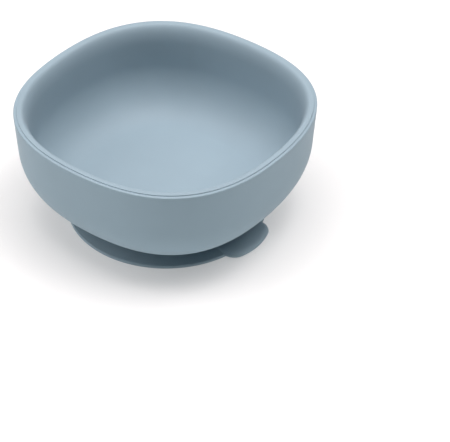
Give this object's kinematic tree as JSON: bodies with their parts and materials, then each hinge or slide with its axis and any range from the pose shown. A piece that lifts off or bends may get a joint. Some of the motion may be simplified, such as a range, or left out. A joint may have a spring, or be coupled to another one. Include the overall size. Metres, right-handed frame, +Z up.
{
  "type": "suction bowl",
  "caption": "Deep rounded-square baby feeding bowl in soft silicone, on a flared suction cup with a sealing lip and a side pull tab that breaks the seal.",
  "frame": {"origin": "centre of the suction base's flat seat, on the table surface", "axes": "+Z up through the bowl's open mouth, +X towards the pull tab and across the bowl's flat sides, +Y across the other two flat sides"},
  "size_m": [0.1238, 0.1238, 0.056],
  "materials": {
    "bowl_silicone": "matte",
    "base_silicone": "matte"
  },
  "bodies": {
    "base": {"sealing_lip": "base_silicone", "suction_skirt": "base_silicone"},
    "bowl": {"bowl_shell": "bowl_silicone", "suction_neck": "bowl_silicone"},
    "tab": {"pull_tab": "base_silicone"}
  },
  "joints": [
    {"name": "press_down", "type": "slide", "parent": "base", "child": "bowl", "axis": [0, 0, -1], "range_m": [0, 0.003], "stiffness_N_per_m": 8000, "springref_m": -0.0005, "deforming": ["suction_skirt"]},
    {"name": "tab_lift", "type": "hinge", "parent": "base", "child": "tab", "pos_m": [0.04227, 0, 0.0026], "axis": [0, -1, 0], "range_deg": [0, 45], "stiffness_Nm_per_rad": 0.01, "springref_deg": -2.86}
  ]
}
